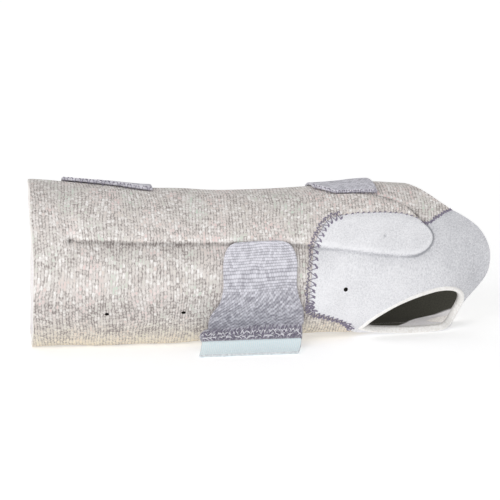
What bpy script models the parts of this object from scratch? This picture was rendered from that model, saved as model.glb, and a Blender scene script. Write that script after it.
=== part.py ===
# A soft wrist brace lying on its thumb side: the palm faces -Y, the fingers point to +X
# and the crest of the sleeve is its little-finger side. Lengths are in metres and the
# floor is z = 0. A place on the sleeve is written as a length along it from the cuff and
# an angle around it in degrees: 0 at the front, 90 at the crest, 180 at the back and
# -90 or 270 on the floor.

import math

import bmesh
import bpy
import numpy as np

# Sleeve
SLEEVE_LENGTH = 0.243
CUFF_HEIGHT = 0.087
CUFF_DEPTH = 0.074
HAND_LENGTH = 0.118         # from the wrist, where the sleeve starts to lean back
WRIST_BEND = 14.0           # degrees, over the hand end
WALL = 0.0035               # foam between two knits
SQUARENESS = 2.35           # 2 would be an ellipse
PRESSED = 0.003             # how much the floor flattens the underside
PRESS_BLEND = 0.0018
WEB_CURL = 0.021            # how far the web beside the thumb turns inwards
WEB_AROUND = -50.0          # degrees, the middle of the web
WEB_SPREAD = 60.0           # degrees to each side of it
WEB_CURL_FROM = 0.90        # share of the length
WEB_CURL_GROWTH = 1.3       # 1 would be a straight turn, more starts it gently
WEB_CURL_DRAW = 0.50        # how much of the curl is also drawn back from the fingers

# Stay pocket along the palm side
POCKET_RAISE = 0.0018
POCKET_BLEND = 0.0050
POCKET_START = 0.0185
POCKET_SHORT_OF_RIM = 0.0345

# Palm panel and thumb hole
PALM_LENGTH = 0.100         # from the upright seam to the rim
PALM_TOP = 40.0             # degrees, the seam along the top of the palm
PALM_NOTCH = 0.0195         # how far the seam steps towards the hole
THUMB_HOLE_LENGTH = 0.0600
THUMB_HOLE_SHORT_OF_RIM = 0.0105
THUMB_HOLE_TOP = -11.0      # degrees
THUMB_HOLE_BOTTOM = -64.0

# Straps and their hook tabs
STRAP_THICKNESS = 0.0013
TAB_THICKNESS = 0.0015
TAB_CORNER = 0.007
WRIST_STRAP_WIDTH = 0.0375
WRIST_STRAP_TO_PALM = 0.0078  # from its right side to the upright seam
WRIST_STRAP_ROOT = 25.5     # degrees, its sewn top
WRIST_STRAP_LEAVES = -41.0  # degrees, where it lifts off the sleeve
WRIST_STRAP_LYING = 0.86    # share of its length that lies on the sleeve
WRIST_STRAP_EASING = 0.06   # share over which it lifts off
WRIST_FLAP_REACH = 0.008    # from there outwards to the tab
WRIST_FLAP_HEIGHT = 0.0040
WRIST_FLAP_TILT = 1.0       # slope of the flap at the sleeve
WRIST_TAB_TILT = 0.25       # and at the tab
WRIST_FLAP_DROP = 1.5       # 1 would be a straight fall, more levels out at the tab
WRIST_TAB_DROP = 2.2
WRIST_TAB_LENGTH = 0.016
FOREARM_STRAP_START = 0.016
FOREARM_STRAP_WIDTH = 0.047
FOREARM_STRAP_END = 192.0   # degrees
FOREARM_TAB_LENGTH = 0.022
HAND_STRAP_PAST_SEAM = 0.006  # from the palm's upright seam
HAND_STRAP_WIDTH = 0.032
HAND_STRAP_END = 196.0      # degrees
HAND_TAB_LENGTH = 0.020

# Vent holes
VENT_DIAMETER = 0.0024
VENT_SIDES = 10
VENT_SPACING = 0.0400
VENT_START = 0.037
VENT_AROUND = -23.0         # degrees, and as far past the back
FRONT_VENTS = 2
BACK_VENTS = 4
PALM_VENT_PAST_SEAM = 0.0185
PALM_VENT_AROUND = -10.5

# Faces along and around each piece
SLEEVE_ROWS, SLEEVE_COLUMNS = 19, 40
PALM_ROWS, PALM_COLUMNS = 14, 28
STRAP_ROWS, STRAP_COLUMNS = 6, 20
TAB_ROWS, TAB_COLUMNS = 5, 7
THUMB_HOLE_POINTS = 28
CUTTER_ROWS = 1             # rows of the palm's cutter past the rim
CUTTER_REACH = 0.002        # how far it stands out of both sides of the wall
VENT_PLUG_REACH = 0.004     # and how far the plugs of the vents and the hole do
HOLE_PLUG_OUT = 0.010
HOLE_PLUG_IN = 0.006

GAP = 0.0003                # between pieces that meet edge to edge
STRAP_GAP = 0.0007          # between a strap and the curved sleeve
FLOOR_GAP = 0.0003          # under the tab that lies on the floor

# Places that follow from the sizes above, counted along the sleeve from the cuff
WRIST_AT = SLEEVE_LENGTH - HAND_LENGTH
PALM_START = SLEEVE_LENGTH - PALM_LENGTH
POCKET_END = SLEEVE_LENGTH - POCKET_SHORT_OF_RIM
THUMB_HOLE_START = SLEEVE_LENGTH - THUMB_HOLE_SHORT_OF_RIM - THUMB_HOLE_LENGTH
WRIST_STRAP_START = PALM_START - WRIST_STRAP_TO_PALM - WRIST_STRAP_WIDTH
HAND_STRAP_START = PALM_START + HAND_STRAP_PAST_SEAM

# Sections: shares of the sleeve's length, of the cuff's height and of its depth. "rise" is
# how far the wrist stands off the floor, as a share of the cuff's height.
SECTIONS = [
    {"along": 0.00, "height": 1.000, "depth": 1.000, "rise": 0.000},
    {"along": 0.20, "height": 0.945, "depth": 0.985, "rise": 0.000},
    {"along": 0.40, "height": 0.915, "depth": 0.935, "rise": 0.014},
    {"along": 0.56, "height": 0.915, "depth": 0.865, "rise": 0.040},
    {"along": 0.72, "height": 0.940, "depth": 0.785, "rise": 0.022},
    {"along": 0.85, "height": 0.925, "depth": 0.710, "rise": 0.000},
    {"along": 1.00, "height": 0.895, "depth": 0.600, "rise": 0.000},
]

# The hand end's oblique rim: degrees around and share of the sleeve's length
RIM = [
    {"around": -90, "reach": 0.885},
    {"around": -75, "reach": 0.920},
    {"around": -60, "reach": 0.953},
    {"around": -45, "reach": 0.972},
    {"around": -30, "reach": 0.983},
    {"around": 0, "reach": 1.000},
    {"around": 25, "reach": 0.972},
    {"around": 50, "reach": 0.893},
    {"around": 75, "reach": 0.849},
    {"around": 100, "reach": 0.830},
    {"around": 140, "reach": 0.850},
    {"around": 180, "reach": 0.940},
    {"around": 205, "reach": 0.995},
    {"around": 225, "reach": 0.995},
    {"around": 245, "reach": 0.965},
    {"around": 260, "reach": 0.915},
    {"around": 270, "reach": 0.885},
]

# The stay pocket: share of its length, and degrees around of its two edges
POCKET_EDGES = [
    {"along": 0.00, "lower": 21.5, "upper": 76},
    {"along": 0.22, "lower": 22.0, "upper": 76},
    {"along": 0.44, "lower": 21.5, "upper": 74},
    {"along": 0.62, "lower": 18.0, "upper": 70},
    {"along": 0.75, "lower": 12.0, "upper": 66},
    {"along": 0.84, "lower": 8.0, "upper": 62},
    {"along": 0.92, "lower": 6.5, "upper": 57},
    {"along": 0.97, "lower": 9.0, "upper": 47},
    {"along": 1.00, "lower": 17.0, "upper": 27},
]

# The palm panel's seam, from the floor side up to the rim. "start" counts from the
# upright seam as a share of the palm's length, "around" in degrees.
PALM_UNDER_EDGE = [
    {"start": 0.25, "around": -66},
    {"start": 0.36, "around": -80},
    {"start": 0.53, "around": -87},
    {"start": 0.71, "around": -91},
]
PALM_LEFT_EDGE = [
    {"notch": 1.28, "around": -66},
    {"notch": 1.27, "around": -54},
    {"notch": 1.00, "around": -39.5},
    {"notch": 0.06, "around": -30},
    {"notch": 0.00, "around": -16},
    {"notch": 0.05, "around": 0},
    {"notch": 0.10, "around": 14.5},
    {"notch": 0.18, "around": 22},
    {"notch": 0.36, "around": 31},
]
PALM_TOP_EDGE = [
    {"start": 0.07, "rise": -9.0},
    {"start": 0.10, "rise": -4.0},
    {"start": 0.165, "rise": -0.5},
    {"start": 0.32, "rise": 0.0},
    {"start": 0.485, "rise": -1.0},
    {"start": 0.565, "rise": -5.0},
    {"start": 0.63, "rise": -9.5},
    {"start": 0.705, "rise": -2.5},
    {"start": 0.79, "rise": 4.5},
]

# The thumb hole: shares of its length and of the way up from its bottom edge
THUMB_HOLE_OUTLINE = [
    {"along": 0.00, "up": 0.19},
    {"along": 0.09, "up": 0.46},
    {"along": 0.22, "up": 0.68},
    {"along": 0.36, "up": 0.83},
    {"along": 0.52, "up": 0.94},
    {"along": 0.68, "up": 1.00},
    {"along": 0.82, "up": 0.98},
    {"along": 0.94, "up": 0.86},
    {"along": 1.00, "up": 0.66},
    {"along": 0.98, "up": 0.42},
    {"along": 0.89, "up": 0.20},
    {"along": 0.72, "up": 0.05},
    {"along": 0.47, "up": 0.00},
    {"along": 0.20, "up": 0.03},
]

# The wrist strap: how far down it is from its sewn top to where it leaves the sleeve,
# and how far each side stands out from its straight width, as shares of that width
WRIST_STRAP_SIDES = [
    {"down": 0.00, "left": -0.15, "right": -0.11},
    {"down": 0.02, "left": -0.09, "right": -0.06},
    {"down": 0.08, "left": -0.04, "right": -0.02},
    {"down": 0.17, "left": 0.00, "right": 0.00},
    {"down": 0.48, "left": 0.01, "right": 0.01},
    {"down": 0.62, "left": 0.06, "right": 0.05},
    {"down": 0.74, "left": 0.17, "right": 0.10},
    {"down": 0.86, "left": 0.20, "right": 0.12},
    {"down": 1.00, "left": 0.19, "right": 0.13},
]
# Its free end in the same shares: run is 0 where it leaves the sleeve, 1 at the tab and
# 2 at the tab's end
WRIST_FLAP_SIDES = [
    {"run": 0.0, "left": 0.19, "right": 0.13},
    {"run": 0.12, "left": 0.25, "right": 0.13},
    {"run": 1.0, "left": 0.30, "right": 0.10},
    {"run": 2.0, "left": 0.38, "right": 0.00},
]

# The sewn edges of the other two straps: share of the width and degrees around
FOREARM_STRAP_SEWN = [
    {"across": 0.00, "around": 92},
    {"across": 0.33, "around": 88},
    {"across": 0.67, "around": 84},
    {"across": 1.00, "around": 81},
]
HAND_STRAP_SEWN = [
    {"across": 0.00, "around": 82},
    {"across": 0.33, "around": 66},
    {"across": 0.67, "around": 64},
    {"across": 1.00, "around": 62.5},
]

FABRIC = {
    "melange_knit": ((0.62, 0.59, 0.56, 1.0), 0.92),
    "brushed_palm": ((0.80, 0.81, 0.83, 1.0), 0.88),
    "strap_knit": ((0.47, 0.47, 0.53, 1.0), 0.90),
    "hook_tab": ((0.68, 0.77, 0.79, 1.0), 0.70),
}


def column(table, name):
    """One named column of a table."""
    return np.array([row[name] for row in table], dtype=float)


def smooth_curve(places, values, at):
    """A smooth curve through the values at the places, read at other places."""
    at = np.clip(np.asarray(at, dtype=float), places[0], places[-1])
    slopes = np.gradient(values, places)
    low = np.clip(np.searchsorted(places, at, side="right") - 1, 0, len(places) - 2)
    step = places[low + 1] - places[low]
    t = (at - places[low]) / step
    start = (2 * t**3 - 3 * t**2 + 1) * values[low] + (t**3 - 2 * t**2 + t) * step * slopes[low]
    end = (3 * t**2 - 2 * t**3) * values[low + 1] + (t**3 - t**2) * step * slopes[low + 1]
    return start + end


def smooth_step(value):
    """0 below 0, 1 above 1 and a smooth rise between them."""
    t = np.clip(value, 0.0, 1.0)
    return t * t * (3 - 2 * t)


def signed_power(value, power):
    return np.sign(value) * np.abs(value) ** power


def lay_on_floor(height):
    """Heights with everything under the floor pressed flat onto it."""
    bent = (height + PRESS_BLEND) ** 2 / (4 * PRESS_BLEND)
    return np.where(height < -PRESS_BLEND, 0.0, np.where(height < PRESS_BLEND, bent, height))


def bare_skin(along, around):
    """The sleeve's smooth outside, before the stay pocket raises it."""
    along, around = np.broadcast_arrays(np.asarray(along, float), np.asarray(around, float))
    share = along / SLEEVE_LENGTH
    angle = np.radians(around)
    height = CUFF_HEIGHT * smooth_curve(column(SECTIONS, "along"), column(SECTIONS, "height"), share)
    depth = CUFF_DEPTH * smooth_curve(column(SECTIONS, "along"), column(SECTIONS, "depth"), share)
    rise = CUFF_HEIGHT * smooth_curve(column(SECTIONS, "along"), column(SECTIONS, "rise"), share)
    rise = np.maximum(rise, 0.0)
    radius = (SLEEVE_LENGTH - WRIST_AT) / math.radians(WRIST_BEND)
    turn = np.maximum(along - WRIST_AT, 0.0) / radius
    middle_x = np.minimum(along, WRIST_AT) + radius * np.sin(turn)
    middle_y = radius * (1 - np.cos(turn))
    out = depth / 2 * signed_power(np.cos(angle), 2 / SQUARENESS)
    tall = (height - rise + PRESSED) / 2
    up = height - rise - tall + tall * signed_power(np.sin(angle), 2 / SQUARENESS)
    from_web = (around - WEB_AROUND + 180) % 360 - 180
    towards_web = 1 - np.abs(from_web) / WEB_SPREAD
    curl = WEB_CURL * smooth_step(towards_web)
    curl = curl * np.maximum((share - WEB_CURL_FROM) / (1 - WEB_CURL_FROM), 0.0) ** WEB_CURL_GROWTH
    x = middle_x + out * np.sin(turn) - WEB_CURL_DRAW * curl
    y = middle_y - out * np.cos(turn) + curl
    return np.stack([x, y, rise + lay_on_floor(up)], axis=-1)


def skin_normal(along, around):
    """The outward direction of the bare skin."""
    step_along = 0.0004
    step_around = 0.6
    ahead = bare_skin(along + step_along, around) - bare_skin(along - step_along, around)
    across = bare_skin(along, around + step_around) - bare_skin(along, around - step_around)
    normal = np.cross(ahead, across)
    return normal / np.linalg.norm(normal, axis=-1, keepdims=True)


def girth_per_degree():
    """Length of skin for each degree around, at the wrist."""
    angles = np.linspace(0, 360, 73)
    ring = bare_skin(WRIST_AT, angles)
    return np.linalg.norm(np.diff(ring, axis=0), axis=1).sum() / 360


DEGREE = girth_per_degree()


def pocket_raise(along, around):
    """How far the stay pocket lifts the skin."""
    share = (along - POCKET_START) / (POCKET_END - POCKET_START)
    lower = smooth_curve(column(POCKET_EDGES, "along"), column(POCKET_EDGES, "lower"), share)
    upper = smooth_curve(column(POCKET_EDGES, "along"), column(POCKET_EDGES, "upper"), share)
    turned = (np.asarray(around) + 90) % 360 - 90
    inside = np.minimum(turned - lower, upper - turned) * DEGREE
    ends = np.minimum(along - POCKET_START, POCKET_END - along)
    return POCKET_RAISE * smooth_step(np.minimum(inside, ends) / POCKET_BLEND + 0.5)


def skin(along, around, lift=0.0):
    """The sleeve's outside with its pocket, lifted off by a distance."""
    raised = pocket_raise(along, around) + lift
    return bare_skin(along, around) + skin_normal(along, around) * raised[..., None]


def lining(along, around, depth=WALL):
    """The sleeve's inside."""
    return bare_skin(along, around) - skin_normal(along, around) * depth


def rim_reach(around):
    """How far the sleeve reaches at an angle."""
    turned = (np.asarray(around, float) + 90) % 360 - 90
    return SLEEVE_LENGTH * smooth_curve(column(RIM, "around"), column(RIM, "reach"), turned)


def even_path(along, around, shares):
    """Points spaced evenly on a smooth line through the given places."""
    knots = np.arange(len(along), dtype=float)
    fine = np.linspace(0, knots[-1], 40 * len(along))
    line = np.stack([smooth_curve(knots, along, fine), smooth_curve(knots, around, fine)], axis=-1)
    steps = np.hypot(np.diff(line[:, 0]), np.diff(line[:, 1]) * DEGREE)
    run = np.concatenate([[0.0], np.cumsum(steps)]) / steps.sum()
    return np.stack([np.interp(shares, run, line[:, 0]), np.interp(shares, run, line[:, 1])], axis=-1)


def move_aside(path, distance):
    """A line of places moved to its left by a distance."""
    flat = path * [1.0, DEGREE]
    ahead = np.gradient(flat, axis=0)
    side = np.stack([-ahead[:, 1], ahead[:, 0]], axis=-1)
    side /= np.maximum(np.linalg.norm(side, axis=1, keepdims=True), 1e-9)
    return (flat + side * distance) / [1.0, DEGREE]


def palm_outline(fine, grow):
    """The palm panel's under, left and top edges, and its part of the rim."""
    palm_length = SLEEVE_LENGTH - PALM_START
    under = even_path(PALM_START + palm_length * column(PALM_UNDER_EDGE, "start"),
                      column(PALM_UNDER_EDGE, "around"), fine)
    left = even_path(PALM_START + PALM_NOTCH * column(PALM_LEFT_EDGE, "notch"),
                     column(PALM_LEFT_EDGE, "around"), fine)
    top = even_path(PALM_START + palm_length * column(PALM_TOP_EDGE, "start"),
                    PALM_TOP + column(PALM_TOP_EDGE, "rise"), fine)
    low_corner = left[0] + grow * np.array([-1.0, -1.0 / DEGREE])
    high_corner = left[-1] + grow * np.array([-1.0, 1.0 / DEGREE])
    under = move_aside(under, -grow)
    left = move_aside(left, grow)
    top = move_aside(top, grow)
    under[0] = left[0] = low_corner
    top[0] = left[-1] = high_corner
    rim_around = np.linspace(under[-1, 1], top[-1, 1], len(fine))
    rim = np.stack([rim_reach(rim_around), rim_around], axis=-1)
    under[-1] = rim[0]
    top[-1] = rim[-1]
    return under, left, top, rim


def palm_places(s, t, grow=0.0):
    """Places on the palm panel: s runs from its seam to the rim, t from the floor up."""
    fine = np.linspace(0, 1, 161)
    under, left, top, rim = palm_outline(fine, grow)

    def read(path, share):
        return np.stack([np.interp(share, fine, path[:, k]) for k in (0, 1)], axis=-1)

    s_col, t_col = s[..., None], t[..., None]
    across = (1 - s_col) * read(left, t) + s_col * read(rim, t)
    upward = (1 - t_col) * read(under, s) + t_col * read(top, s)
    corners = ((1 - s_col) * (1 - t_col) * left[0] + s_col * (1 - t_col) * rim[0]
               + (1 - s_col) * t_col * left[-1] + s_col * t_col * rim[-1])
    places = across + upward - corners
    return places[..., 0], places[..., 1]


def palm_places_past_rim(s, t):
    """The grown panel's places, carried straight on past the rim where s is over 1."""
    last = 1 - 1 / PALM_ROWS
    along, around = palm_places(np.minimum(s, 1.0), t, grow=GAP)
    before_along, before_around = palm_places(np.full_like(s, last), t, grow=GAP)
    past = np.maximum(s - 1.0, 0.0) * PALM_ROWS
    return along + (along - before_along) * past, around + (around - before_around) * past


def make_object(name, mesh, fabric=None):
    """A named object in the scene, parented to the brace. One with no fabric is a cutter."""
    thing = bpy.data.objects.new(name, mesh)
    bpy.context.scene.collection.objects.link(thing)
    thing.parent = brace
    if fabric:
        mesh.materials.append(material(fabric))
    else:
        thing.hide_render = True
        thing.display_type = "WIRE"
    return thing


def material(fabric):
    """One Principled material for each fabric."""
    if fabric in bpy.data.materials:
        return bpy.data.materials[fabric]
    colour, roughness = FABRIC[fabric]
    cloth = bpy.data.materials.new(fabric)
    cloth.use_nodes = True
    shader = cloth.node_tree.nodes["Principled BSDF"]
    shader.inputs["Base Color"].default_value = colour
    shader.inputs["Roughness"].default_value = roughness
    shader.inputs["Metallic"].default_value = 0.0
    return cloth


def make_wall(name, outside, inside, rows, columns, fabric=None, tube=False):
    """A closed wall: a grid laid on the outside and extruded to the inside. Both are
    functions of two shares, the first along the rows and the second across them."""
    mesh = bpy.data.meshes.new(name)
    bm = bmesh.new()
    bmesh.ops.create_grid(bm, x_segments=rows, y_segments=columns, size=1.0)
    place = bm.verts.layers.float_vector.new("place")
    for vert in bm.verts:
        vert[place] = ((vert.co.x + 1) / 2, (vert.co.y + 1) / 2, 0)
    put(bm.verts, place, outside)
    if tube:
        bmesh.ops.remove_doubles(bm, verts=bm.verts, dist=1e-6)
    sheet = bmesh.ops.extrude_face_region(bm, geom=bm.faces[:])
    put([part for part in sheet["geom"] if isinstance(part, bmesh.types.BMVert)], place, inside)
    bmesh.ops.recalc_face_normals(bm, faces=bm.faces)
    bm.to_mesh(mesh)
    bm.free()
    mesh.shade_smooth()
    mesh.set_sharp_from_angle(angle=math.radians(40))
    return make_object(name, mesh, fabric)


def put(verts, place, surface):
    """Move vertices to their places on a surface."""
    verts = list(verts)
    shares = np.array([vert[place][:2] for vert in verts])
    for vert, point in zip(verts, surface(shares[:, 0], shares[:, 1])):
        vert.co = point


def cut(thing, cutter):
    """Take a cutter away from a piece."""
    step = thing.modifiers.new(cutter.name, "BOOLEAN")
    step.operation = "DIFFERENCE"
    step.solver = "EXACT"
    step.object = cutter


def make_sleeve():
    """The tube from the cuff to the oblique rim, with the palm panel's place cut out."""
    def outside(s, t):
        around = 360 * t - 90
        return skin(s * rim_reach(around), around)

    def inside(s, t):
        around = 360 * t - 90
        return lining(s * rim_reach(around), around)

    sleeve = make_wall("sleeve", outside, inside, rows=SLEEVE_ROWS,
                       columns=SLEEVE_COLUMNS, fabric="melange_knit", tube=True)
    past_rim = 1 + CUTTER_ROWS / PALM_ROWS

    def cutter_outside(s, t):
        return skin(*palm_places_past_rim(s * past_rim, t), lift=CUTTER_REACH)

    def cutter_inside(s, t):
        return lining(*palm_places_past_rim(s * past_rim, t), depth=WALL + CUTTER_REACH)

    cut(sleeve, make_wall("palm_place", cutter_outside, cutter_inside,
                          rows=PALM_ROWS + CUTTER_ROWS, columns=PALM_COLUMNS))
    front = [(VENT_START + k * VENT_SPACING, VENT_AROUND) for k in range(FRONT_VENTS)]
    back = [(VENT_START + k * VENT_SPACING, 180 - VENT_AROUND) for k in range(BACK_VENTS)]
    cut(sleeve, make_vents("sleeve_vents", front + back))
    return sleeve


def make_palm_panel():
    """The pale panel over the palm, with the thumb hole and its vent."""
    panel = make_wall("palm_panel", lambda s, t: skin(*palm_places(s, t)),
                      lambda s, t: lining(*palm_places(s, t)), rows=PALM_ROWS, columns=PALM_COLUMNS,
                      fabric="brushed_palm")
    cut(panel, make_thumb_hole())
    cut(panel, make_vents("palm_vents", [(PALM_START + PALM_VENT_PAST_SEAM, PALM_VENT_AROUND)]))
    return panel


def thumb_hole_places(count):
    """Places on the closed edge of the thumb hole."""
    along = THUMB_HOLE_START + THUMB_HOLE_LENGTH * column(THUMB_HOLE_OUTLINE, "along")
    up = column(THUMB_HOLE_OUTLINE, "up")
    around = THUMB_HOLE_BOTTOM + (THUMB_HOLE_TOP - THUMB_HOLE_BOTTOM) * up
    path = even_path(np.append(along, along[0]), np.append(around, around[0]), np.linspace(0, 1, count + 1))
    return path[:-1, 0], path[:-1, 1]


def make_thumb_hole():
    """A plug through the wall, between the hole's outline outside it and inside it."""
    along, around = thumb_hole_places(THUMB_HOLE_POINTS)
    rings = [skin(along, around, lift=HOLE_PLUG_OUT), lining(along, around, depth=WALL + HOLE_PLUG_IN)]
    return make_plug("thumb_place", [rings])


def make_plug(name, plugs):
    """Closed plugs, each between an outer and an inner ring of points."""
    mesh = bpy.data.meshes.new(name)
    bm = bmesh.new()
    for rings in plugs:
        edges = []
        for ring in rings:
            verts = [bm.verts.new(point) for point in ring]
            loop = [bm.edges.new((verts[k], verts[k - 1])) for k in range(len(verts))]
            edges += loop
            middle = bm.verts.new(ring.mean(axis=0))
            for edge in loop:
                bm.faces.new((edge.verts[0], edge.verts[1], middle))
        bmesh.ops.bridge_loops(bm, edges=edges)
    bmesh.ops.recalc_face_normals(bm, faces=bm.faces)
    bm.to_mesh(mesh)
    bm.free()
    return make_object(name, mesh)


def make_vents(name, places):
    """Round plugs square to the skin at the given places."""
    plugs = []
    turn = np.linspace(0, 2 * math.pi, VENT_SIDES, endpoint=False)
    for along, around in places:
        centre = bare_skin(along, around)
        normal = skin_normal(along, around)
        sideways = np.cross(normal, [1.0, 0.0, 0.0])
        sideways /= np.linalg.norm(sideways)
        forward = np.cross(sideways, normal)
        ring = VENT_DIAMETER / 2 * (np.cos(turn)[:, None] * forward + np.sin(turn)[:, None] * sideways)
        reach_in = WALL + VENT_PLUG_REACH
        plugs.append([centre + ring + normal * VENT_PLUG_REACH, centre + ring - normal * reach_in])
    return make_plug(name, plugs)


def rounded_inset(distance, corner):
    """How far a side draws in at a distance from a rounded end."""
    short = np.clip(corner - distance, 0.0, corner)
    return corner - np.sqrt(np.maximum(corner**2 - short**2, 0.0))


def wrist_strap_sides(around):
    """The wrist strap's left and right edges, as lengths along the sleeve."""
    down = (WRIST_STRAP_ROOT - around) / (WRIST_STRAP_ROOT - WRIST_STRAP_LEAVES)
    left = smooth_curve(column(WRIST_STRAP_SIDES, "down"), column(WRIST_STRAP_SIDES, "left"), down)
    right = smooth_curve(column(WRIST_STRAP_SIDES, "down"), column(WRIST_STRAP_SIDES, "right"), down)
    start = WRIST_STRAP_START - WRIST_STRAP_WIDTH * left
    end = WRIST_STRAP_START + WRIST_STRAP_WIDTH * (1 + right)
    return start, end


def flap_point(across, run, lift):
    """The free end of the wrist strap: run goes from 0 where it leaves the sleeve to 1 at
    the tab and on to 2 at the tab's end, which lies on the floor."""
    left_here, right_here = wrist_strap_sides(np.full_like(across, WRIST_STRAP_LEAVES))
    left = smooth_curve(column(WRIST_FLAP_SIDES, "run"), column(WRIST_FLAP_SIDES, "left"), run)
    right = smooth_curve(column(WRIST_FLAP_SIDES, "run"), column(WRIST_FLAP_SIDES, "right"), run)
    left = WRIST_STRAP_START - WRIST_STRAP_WIDTH * left
    right = WRIST_STRAP_START + WRIST_STRAP_WIDTH * (1 + right)
    start = skin(left_here + (right_here - left_here) * across,
                 np.full_like(across, WRIST_STRAP_LEAVES), lift=STRAP_GAP)
    x = left + (right - left) * across
    first = np.minimum(run, 1.0)
    second = np.maximum(run - 1.0, 0.0)
    y = start[..., 1] - WRIST_FLAP_REACH * first - WRIST_TAB_LENGTH * second
    drop = (start[..., 2] - WRIST_FLAP_HEIGHT) * (1 - (1 - first) ** WRIST_FLAP_DROP)
    low = FLOOR_GAP + (WRIST_FLAP_HEIGHT - FLOOR_GAP) * (1 - second) ** WRIST_TAB_DROP
    z = np.where(run <= 1.0, start[..., 2] - drop, low)
    slope = WRIST_TAB_TILT * (1 - second) + (WRIST_FLAP_TILT - WRIST_TAB_TILT) * (1 - first)
    outward = np.stack([np.zeros_like(x), -slope, np.ones_like(x)], axis=-1)
    outward /= np.linalg.norm(outward, axis=-1, keepdims=True)
    return np.stack([x, y, z], axis=-1) + outward * lift[..., None]


def wrist_strap_point(across, down, lift):
    """The wrist strap: down goes from its sewn top at 0 to the tab at 1."""
    lying_share = np.minimum(down / WRIST_STRAP_LYING, 1.0)
    around = WRIST_STRAP_ROOT + (WRIST_STRAP_LEAVES - WRIST_STRAP_ROOT) * lying_share
    left, right = wrist_strap_sides(around)
    lift = np.full_like(across, lift)
    lying = skin(left + (right - left) * across, around, lift=STRAP_GAP + lift)
    run = np.maximum((down - WRIST_STRAP_LYING) / (1 - WRIST_STRAP_LYING), 0.0)
    free = flap_point(across, run, lift)
    easing = smooth_step((down - WRIST_STRAP_LYING) / WRIST_STRAP_EASING + 1)[..., None]
    is_lying = down[..., None] <= WRIST_STRAP_LYING
    return np.where(is_lying, lying, free * easing + lying * (1 - easing))


def make_wrist_strap():
    make_wall("wrist_strap", lambda s, t: wrist_strap_point(s, t, STRAP_THICKNESS),
              lambda s, t: wrist_strap_point(s, t, 0.0), rows=STRAP_ROWS, columns=STRAP_COLUMNS,
              fabric="strap_knit")

    def tab(s, t, lift):
        run = 1.0 + GAP / WRIST_TAB_LENGTH + (1 - GAP / WRIST_TAB_LENGTH) * t
        return flap_point(s, run, np.full_like(s, lift))

    make_wall("wrist_strap_tab", lambda s, t: tab(s, t, TAB_THICKNESS), lambda s, t: tab(s, t, 0.0),
              rows=TAB_ROWS, columns=TAB_COLUMNS, fabric="hook_tab")


def band(name, start, width, sewn, far, tab_length):
    """A strap from its sewn edge over the crest and down the back, and its hook tab."""
    middle = start + width / 2
    tab_end = far + tab_length / DEGREE
    gap_turn = GAP / DEGREE

    def strap(s, t, lift):
        begin = np.interp(s, column(sewn, "across"), column(sewn, "around"))
        return skin(start + width * s, begin + (far - begin) * t, lift=np.full_like(s, STRAP_GAP + lift))

    def tab(s, t, lift):
        around = far + gap_turn + (tab_end - far - gap_turn) * t
        inset = rounded_inset((tab_end - around) * DEGREE, TAB_CORNER)
        half = width / 2 - inset
        return skin(middle + half * (2 * s - 1), around, lift=np.full_like(s, STRAP_GAP + lift))

    make_wall(name, lambda s, t: strap(s, t, STRAP_THICKNESS), lambda s, t: strap(s, t, 0.0),
              rows=STRAP_ROWS, columns=STRAP_COLUMNS, fabric="strap_knit")
    make_wall(name + "_tab", lambda s, t: tab(s, t, TAB_THICKNESS), lambda s, t: tab(s, t, 0.0),
              rows=TAB_ROWS, columns=TAB_COLUMNS, fabric="hook_tab")


def stand_over_origin():
    """Move the brace so that the origin is on the floor under the middle of its box."""
    bpy.context.view_layer.update()
    graph = bpy.context.evaluated_depsgraph_get()
    pieces = [thing for thing in brace.children if not thing.hide_render]
    points = []
    for thing in pieces:
        mesh = thing.evaluated_get(graph).to_mesh()
        points += [vert.co[:] for vert in mesh.vertices]
    points = np.array(points)
    low, high = points.min(axis=0), points.max(axis=0)
    brace.location = (-(low[0] + high[0]) / 2, -(low[1] + high[1]) / 2, -low[2])


for old in list(bpy.data.objects):
    bpy.data.objects.remove(old, do_unlink=True)
brace = bpy.data.objects.new("brace", None)
bpy.context.scene.collection.objects.link(brace)

make_sleeve()
make_palm_panel()
make_wrist_strap()
band("forearm_strap", FOREARM_STRAP_START, FOREARM_STRAP_WIDTH, sewn=FOREARM_STRAP_SEWN,
     far=FOREARM_STRAP_END, tab_length=FOREARM_TAB_LENGTH)
band("hand_strap", HAND_STRAP_START, HAND_STRAP_WIDTH, sewn=HAND_STRAP_SEWN,
     far=HAND_STRAP_END, tab_length=HAND_TAB_LENGTH)
stand_over_origin()
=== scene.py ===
import math

import bmesh
import bpy
import numpy as np
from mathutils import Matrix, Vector
from mathutils.kdtree import KDTree


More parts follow.
